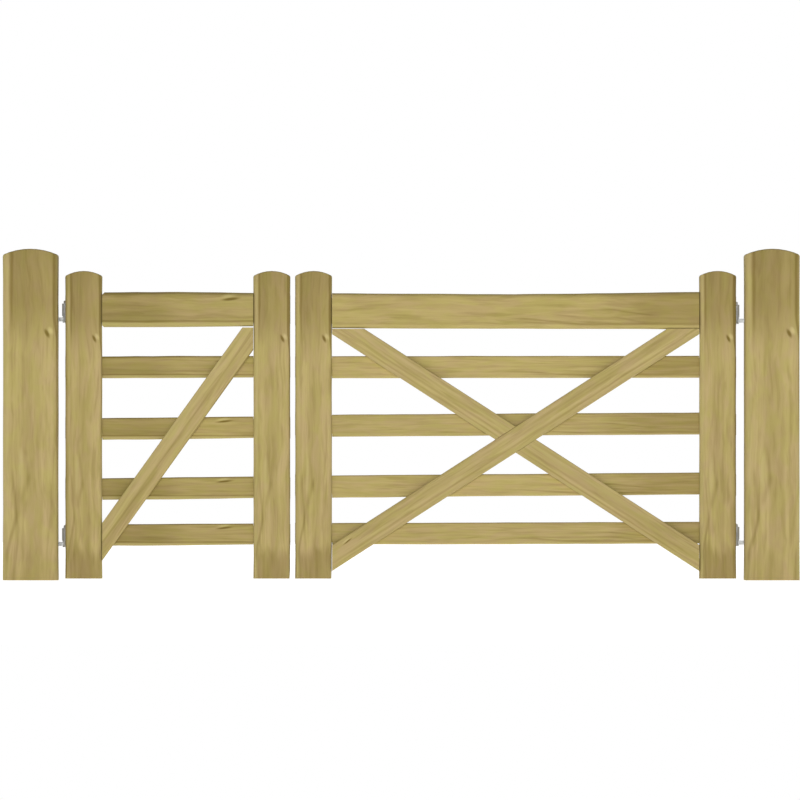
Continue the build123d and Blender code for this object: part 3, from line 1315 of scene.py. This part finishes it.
FALLING_STREAKS = (
    Streak((-0.19, 1.1), (-0.26, -1.1), 0.19, 0.3),
    Streak((-0.59, 1.1), (-0.66, -1.1), 0.14, 0.24),
    Streak((0.48, 1.1), (0.4, -1.1), 0.26, 0.16, light=True),
    Streak((0.74, 1.1), (0.7, -1.1), 0.1, 0.1),
    Streak((-0.9, 1.1), (-0.88, -1.1), 0.2, 0.12),
)
NARROW_STREAKS = (
    Streak((0.25, 0.9), (0.15, 0.0), 0.3, 0.12),
    Streak((-0.3, 0.5), (-0.42, -0.3), 0.14, 0.14),
    Streak((-0.1, -0.1), (-0.3, -0.7), 0.12, 0.14),
    Streak((0.1, 0.1), (0.0, -1.2), 0.95, 0.08),
)
POST = BoardLook(
    gain=0.98, knots=(Knot(0.61, 0.49, 0.011, 0.027, 0.47),), streaks=UPRIGHT_STREAKS
)
STILE = BoardLook(
    gain=0.985,
    head=(0.42, 0.78, 0.39),
    foot=(-0.76, -0.86, 0.38),
    stretch=1.3,
    knots=(Knot(0.57, 0.56, 0.0085, 0.023, 0.43),),
    streaks=STILE_STREAKS,
)
WEDGES = BoardLook(turn=BOARD_TURN, seed=2.0, gain=0.8, head=NO_HEAD, foot=NO_FOOT)
NARROW_BAR = BoardLook(
    turn=BOARD_TURN,
    tint=0.91,
    band=0.22,
    line=(0.93, 0.94),
    line_width=0.19,
    line_at_foot=0.7,
    arris_shade_even=0.8,
    painted_light_strength=0.75,
    head=(-0.2, 0.4, 0.28),
    foot=NO_FOOT,
    stretch=2.2,
    knots=(Knot(0.6, -0.62, 0.0058, 0.046, 0.11),),
    streaks=NARROW_STREAKS,
)
NARROW_RAIL = replace(
    NARROW_BAR,
    seed=11.0,
    gain=0.87,
    tint=0.92,
    band=0.27,
    line=(0.91, 0.92),
    line_width=0.16,
    line_strength=0.48,
    arris_shade_even=0.9,
    painted_light_strength=0.8,
    stretch=1.4,
    knots=(Knot(0.6, -0.7, 0.0085, 0.05, 0.11),),
)
WIDE_BAR = BoardLook(
    turn=BOARD_TURN,
    tint=0.95,
    band=0.2,
    line=(0.94, 0.95),
    line_width=0.1,
    line_strength=0.3,
    head=NO_HEAD,
    foot=(-0.35, -0.8, 0.36),
    stretch=2.2,
    streaks=WIDE_STREAKS,
)
WIDE_BOTTOM_BAR = replace(WIDE_BAR, foot=(-0.35, -0.8, 0.24))
WIDE_RAIL = replace(
    WIDE_BAR,
    seed=41.0,
    gain=0.93,
    tint=0.915,
    line=(0.95, 0.97),
    line_width=0.06,
    line_strength=0.2,
    foot=(-0.35, -0.8, 0.38),
    stretch=1.4,
)
NARROW_BRACE = BoardLook(
    seed=29.0,
    gain=0.97,
    line=(0.95, 0.95),
    head=NO_HEAD,
    foot=NO_FOOT,
    stretch=1.8,
    streaks=BRACE_STREAKS,
)
WIDE_BRACE = replace(NARROW_BRACE, gain=0.975, line=(0.97, 0.97), line_strength=0.25)


@dataclass
class Posts:
    """The two gate posts."""

    rise: float = 0.024
    arris: float = 0.024
    head_chamfer: float = 0.007

    def build(self, timber: Timber) -> None:
        """Builds both posts."""
        for node, seed in (("left_post", 1.3), ("right_post", 7.9)):
            upright = Upright(
                node,
                self.rise,
                self.arris,
                self.head_chamfer,
                replace(POST, seed=seed),
                Slot.POST,
                Body.POSTS,
            )
            upright.build(timber)


@dataclass
class Leaf:
    """One leaf: two stiles, a top rail, four bars, its braces and its wedges."""

    name: str
    body: Body
    left_stile: str
    right_stile: str
    boards: list[Board]
    braces: list[Brace]
    stile_rise: float = 0.02
    stile_arris: float = 0.016
    head_chamfer: float = 0.005
    foot_nicks: tuple[float, float] = (0.0, 0.0)

    def mortises(self, edge: float, inward: int, width: float) -> list[Mortise]:
        """Mortises of a stile for the leaf's rail and bars.

        Args:
            edge: The stile's outer edge.
            inward: Which way the leaf lies, -1 or 1.
            width: The stile's width.

        Returns:
            One mortise for each board.
        """
        holes = []
        for board in self.boards:
            low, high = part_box(board.node)
            tenon = (board.tenon_thickness, board.tenon_height)
            holes.append(Mortise(edge, inward, width, (low.z + high.z) / 2, *tenon))
        return holes

    def build(self, timber: Timber) -> None:
        """Builds every timber of the leaf, and gives its wedges their finish."""
        left_low, left_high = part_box(self.left_stile)
        right_low, right_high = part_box(self.right_stile)
        width = left_high.x - left_low.x
        for node, edge, inward, seed, nick in (
            (self.left_stile, left_low.x, 1, 3.1, self.foot_nicks[0]),
            (self.right_stile, right_high.x, -1, 5.7, self.foot_nicks[1]),
        ):
            Upright(
                node,
                self.stile_rise,
                self.stile_arris,
                self.head_chamfer,
                replace(STILE, seed=seed + edge),
                Slot.STILE,
                self.body,
                foot_nick=nick,
                mortises=self.mortises(edge, inward, width),
            ).build(timber)
        for board in self.boards:
            board.build(left_high.x, right_low.x, timber)
        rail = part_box(self.boards[0].node)[0].z
        for number, brace in enumerate(self.braces):
            crossing = self.braces[1 - number] if len(self.braces) > 1 else None
            brace.build(left_high.x, right_low.x, rail, timber, crossing)
        middle, halves = Vector((0, 0, 0.6)), Vector((0.6, 0.02, 2.0))
        finish = timber.lay(f"{self.name}_wedges_finish", WEDGES, middle, halves)
        dress(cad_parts[f"{self.name}_wedges"], finish)


def mm(*lengths: float) -> tuple[float, ...]:
    """Metres from millimetres."""
    return tuple(length / 1000 for length in lengths)


def top_rail(
    node: str,
    look: BoardLook,
    body: Body,
    upper: Ends,
    lower: Ends,
    nicks: tuple[float, float] = (0.0, 0.0),
) -> Board:
    """Top rail of a leaf, a board with a larger arris and a taller tenon."""
    return Board(node, look, body, upper, lower, nicks, arris=0.016, tenon_height=0.102)


def bar(
    node: str, look: BoardLook, body: Body, seed: float, gain: float, upper: Ends, lower: Ends
) -> Board:
    """One of the four bars below the top rail, with a figure of its own."""
    return Board(node, replace(look, seed=seed, gain=gain), body, upper, lower)


def narrow_leaf() -> Leaf:
    """The narrow leaf, which hangs on the left post."""
    body, look = Body.NARROW, NARROW_BAR
    foot, head = 0.078, 0.920
    slant = math.atan2(head - foot, 0.604)
    uppers = (mm(-1.6, 0.4, -4), mm(-2, 0, 0), mm(-4.4, -1, 2), mm(-5.2, -1.5, 2), mm(-3.6, -2, 0))
    lowers = (mm(1.6, 1.6, 4.8), mm(-1, 0, 2), mm(-3.2, -1, 4.4), mm(-3.2, -1, 4), mm(-1.6, 0, 4))
    boards = [
        top_rail("narrow_top_rail", NARROW_RAIL, body, uppers[0], lowers[0], mm(11, 8)),
        bar("narrow_second_bar", look, body, 13.0, 0.89, uppers[1], lowers[1]),
        bar("narrow_third_bar", look, body, 17.0, 0.925, uppers[2], lowers[2]),
        bar("narrow_fourth_bar", look, body, 19.0, 0.885, uppers[3], lowers[3]),
        bar("narrow_bottom_bar", look, body, 23.0, 0.885, uppers[4], lowers[4]),
    ]
    brace_look = replace(NARROW_BRACE, turn=QUARTER_TURN - slant)
    braces = [Brace("narrow_brace", foot, head, True, brace_look, body)]
    stiles = ("narrow_hanging_stile", "narrow_meeting_stile")
    return Leaf("narrow", body, *stiles, boards, braces, foot_nicks=(0.0, 0.005))


def wide_leaf() -> Leaf:
    """The wide leaf, which hangs on the right post."""
    body, look = Body.WIDE, WIDE_BAR
    foot, head = 0.036, 0.983
    slant = math.atan2(head - foot, 1.468)
    boards = [
        top_rail("wide_top_rail", WIDE_RAIL, body, mm(0, -4, 5), mm(2, 0, -2)),
        bar("wide_second_bar", look, body, 43.0, 0.98, mm(-1, 0, 1), mm(-1, 0, 1)),
        bar("wide_third_bar", look, body, 47.0, 0.93, mm(-5, 0, 4), mm(-5, 0, 4)),
        bar("wide_fourth_bar", look, body, 53.0, 0.98, mm(-6, 0, 6), mm(-7, 0, 6)),
        bar("wide_bottom_bar", WIDE_BOTTOM_BAR, body, 71.0, 0.94, mm(-3, -1, 2), mm(-1, 0, 3)),
    ]
    rising_look = replace(
        WIDE_BRACE,
        turn=-QUARTER_TURN - slant,
        seed=61.0,
        knots=(Knot(0.5, 0.86, 0.004, 0.03, 0.1),),
        streaks=RISING_STREAKS,
    )
    falling_look = replace(
        WIDE_BRACE, turn=slant - QUARTER_TURN, seed=67.0, streaks=FALLING_STREAKS
    )
    braces = [
        Brace("wide_rising_brace", foot, head, True, rising_look, body),
        Brace("wide_falling_brace", foot, head, False, falling_look, body),
    ]
    stiles = ("wide_meeting_stile", "wide_hanging_stile")
    return Leaf("wide", body, *stiles, boards, braces, foot_nicks=(0.005, 0.0))


def disc(sides: int, radius: float, start: float, thick: float) -> Piece:
    """Adds a disc or prism about the Y axis, the start of a screw's parts.

    Args:
        sides: How many sides it has.
        radius: Distance of its corners from the axis.
        start: Where it starts along Y.
        thick: Its thickness.

    Returns:
        The new object, at the origin with its place in its mesh.
    """
    take_up()
    bpy.ops.mesh.primitive_cylinder_add(
        vertices=sides,
        radius=radius,
        depth=thick,
        location=(0, start + thick / 2, 0),
        rotation=(QUARTER_TURN, 0, 0),
    )
    piece = bpy.context.object
    settle(piece)
    return piece


@dataclass(frozen=True)
class CoachScrew:
    """Hexagon-headed screw with a washer, modelled with its back at the origin."""

    washer: float = 0.0115
    washer_thick: float = 0.0016
    head: float = 0.0075
    head_thick: float = 0.0055
    washer_bevel: float = 0.0004
    head_bevel: float = 0.0008
    sunk: float = 0.0001

    def model(self) -> Piece:
        """Head and washer, standing out along Y."""
        parts = []
        for sides, radius, start, thick, bevel in (
            (28, self.washer, 0.0, self.washer_thick, self.washer_bevel),
            (6, self.head, self.washer_thick - self.sunk, self.head_thick, self.head_bevel),
        ):
            part = disc(sides, radius, start, thick)
            outer = start + thick - SAME_PLACE
            round_over(part, bevel, 2, lambda c, y=outer: c[0].y > y and c[1].y > y)
            parts.append(part)
        return join(parts, "coach_screw")


@dataclass(frozen=True)
class WoodScrew:
    """Low round head with a cross recess, modelled with its back at the origin."""

    radius: float = 0.0046
    proud: float = 0.0011
    slot: float = 0.0009
    slot_depth: float = 0.0007
    slot_share: float = 0.55
    bevel: float = 0.0008
    sunk: float = 0.001

    def model(self) -> Piece:
        """Head, standing out along Y."""
        piece = disc(24, self.radius, -self.sunk, self.proud + self.sunk)
        outer = self.proud - SAME_PLACE
        round_over(piece, self.bevel, 3, lambda c: min(c[0].y, c[1].y) > outer)
        arm, half = self.radius * self.slot_share, self.slot / 2
        floor, top = self.proud - self.slot_depth, self.proud + self.sunk
        arms = ((arm, half), (half, arm))
        carve(piece, [block("slot", (-x, floor, -z), (x, top, z)) for x, z in arms])
        piece.name = piece.data.name = "wood_screw"
        return piece


@dataclass
class Ironwork:
    """Hinge bands, hooks, and the screws that hold the bands and the braces."""

    steel: Galvanised = field(default_factory=Galvanised)
    top_shares: tuple[float, ...] = (0.16, 0.3, 0.62, 0.92)
    bottom_shares: tuple[float, ...] = (0.42, 0.8)
    band_thickness: float = 0.006
    pair_apart: tuple[float, float] = (0.022, 0.016)
    clear_of_stile: float = 0.012

    def build(self, leaves: list[Leaf]) -> None:
        """Dresses the iron nodes and sets the screws.

        Args:
            leaves: The leaves, whose braces and bars are screwed together.
        """
        material = self.steel.make()
        coach, small = CoachScrew().model(), WoodScrew().model()
        for leaf in leaves:
            for part in ("top_band", "bottom_band", "top_hook", "bottom_hook"):
                dress(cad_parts[f"{leaf.name}_{part}"], material)
            crossings = [place for brace in leaf.braces for place in self.crossings(leaf, brace)]
            for name, model, places in (
                ("band_screws", coach, self.band_places(leaf.name)),
                ("brace_screws", small, crossings),
            ):
                screws = join([copy_to(model, place) for place in places], f"{leaf.name}_{name}")
                polish(screws)
                hand_over(screws, material, Slot.STEEL, leaf.body)
        for model in (coach, small):
            bpy.data.meshes.remove(model.data)

    def band_places(self, leaf: str) -> list[Point]:
        """Where the screws of a leaf's two bands stand on them."""
        places = []
        for part, shares in (("top_band", self.top_shares), ("bottom_band", self.bottom_shares)):
            low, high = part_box(f"{leaf}_{part}")
            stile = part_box(f"{leaf}_hanging_stile")
            face = stile[1].y + self.band_thickness
            start, end = (stile[0].x, high.x) if leaf == "narrow" else (stile[1].x, low.x)
            for share in shares:
                places.append((start + (end - start) * share, face, (low.z + high.z) / 2))
        return places

    def crossings(self, leaf: Leaf, brace: "Brace") -> list[Point]:
        """Where two screws go into a brace from the back of every bar that it crosses."""
        left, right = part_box(leaf.left_stile)[1].x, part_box(leaf.right_stile)[0].x
        slope = brace.slope(left, right)
        start = brace.left_level + brace.width / 2 / math.cos(slope)
        along_bar, up_bar = self.pair_apart
        first, last = left + self.clear_of_stile, right - self.clear_of_stile
        places = []
        for board in leaf.boards[1:]:
            low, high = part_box(board.node)
            level = (low.z + high.z) / 2
            middle = left + (level - start) / math.tan(slope)
            for side in (-1, 1):
                place = (middle + side * along_bar, high.y, level - side * up_bar)
                if first < place[0] < last:
                    places.append(place)
        return places


@dataclass
class Studio:
    """Glowing pale floor, white surround, a soft sun and a far camera square to the front."""

    centre: Point = (1.4766, 0.0, 0.72)
    lens: float = 600.0
    sensor: float = 36.0
    width_seen: float = 3.2
    floor_reach: float = 14.0
    floor_colour: Rgba = (0.86, 0.86, 0.86, 1.0)
    floor_glow: float = 0.8
    sun_energy: float = 1.81
    sun_spread: float = math.radians(30)
    sun_way: Point = (0.04, 1.0, -0.1)

    def build(self) -> None:
        """Builds the floor, the light and the camera."""
        self.camera()
        self.floor()
        self.light()
        view = bpy.context.scene.view_settings
        view.view_transform = "Standard"
        view.look = "None"

    def camera(self) -> None:
        """Adds the camera square to the front, as far off as the photograph looks."""
        distance = self.width_seen * self.lens / self.sensor
        data = bpy.data.cameras.new("camera")
        data.lens = self.lens
        data.sensor_width = self.sensor
        data.clip_start, data.clip_end = 1.0, 400.0
        camera = bpy.data.objects.new("camera", data)
        bpy.context.scene.collection.objects.link(camera)
        camera.location = (self.centre[0], -distance, self.centre[2])
        camera.rotation_euler = (QUARTER_TURN, 0.0, 0.0)
        bpy.context.scene.camera = camera

    def floor(self) -> None:
        """Lays a pale floor that glows a little, so that it meets the backdrop unseen."""
        take_up()
        place = (self.centre[0], 0.0, 0.0)
        bpy.ops.mesh.primitive_plane_add(size=2 * self.floor_reach, location=place)
        floor = bpy.context.object
        floor.name = "floor"
        material, graph, shader = new_material("pale_floor")
        graph.fill(shader, Base_Color=self.floor_colour, Roughness=1.0, Specular_IOR_Level=0.0)
        graph.fill(shader, Emission_Color=WHITE, Emission_Strength=self.floor_glow)
        dress(floor, material)

    def light(self) -> None:
        """Lights the gate by a soft sun and a white surround that is dimmer above and in front."""
        world = bpy.data.worlds.new("surround")
        bpy.context.scene.world = world
        world.use_nodes = True
        graph = Graph(world.node_tree)
        back = world.node_tree.nodes["Background"]
        _, depth, height = graph.split(graph.node("ShaderNodeTexCoord").outputs["Generated"])
        above = graph.step(height, 0.0, 0.9, 1.0, 0.56)
        behind = graph.step(depth, -0.45, 0.4, 0.2, 0.98)
        seen = graph.node("ShaderNodeLightPath").outputs["Is Camera Ray"]
        strength = graph.math("MAXIMUM", graph.math("MULTIPLY", above, behind), seen)
        graph.fill(back, Color=WHITE, Strength=strength)
        data = bpy.data.lights.new("key", "SUN")
        data.energy, data.angle = self.sun_energy, self.sun_spread
        sun = bpy.data.objects.new("key", data)
        bpy.context.scene.collection.objects.link(sun)
        sun.rotation_mode = "QUATERNION"
        sun.rotation_quaternion = Vector(self.sun_way).to_track_quat("-Z", "Y")


def main() -> None:
    """Builds and dresses the whole gate."""
    logging.basicConfig(level=logging.INFO, format="%(name)s: %(message)s")
    Studio().build()
    timber = Timber(TimberTones())
    Posts().build(timber)
    leaves = [narrow_leaf(), wide_leaf()]
    for leaf in leaves:
        leaf.build(timber)
    Ironwork().build(leaves)


if __name__ == "__main__":
    main()
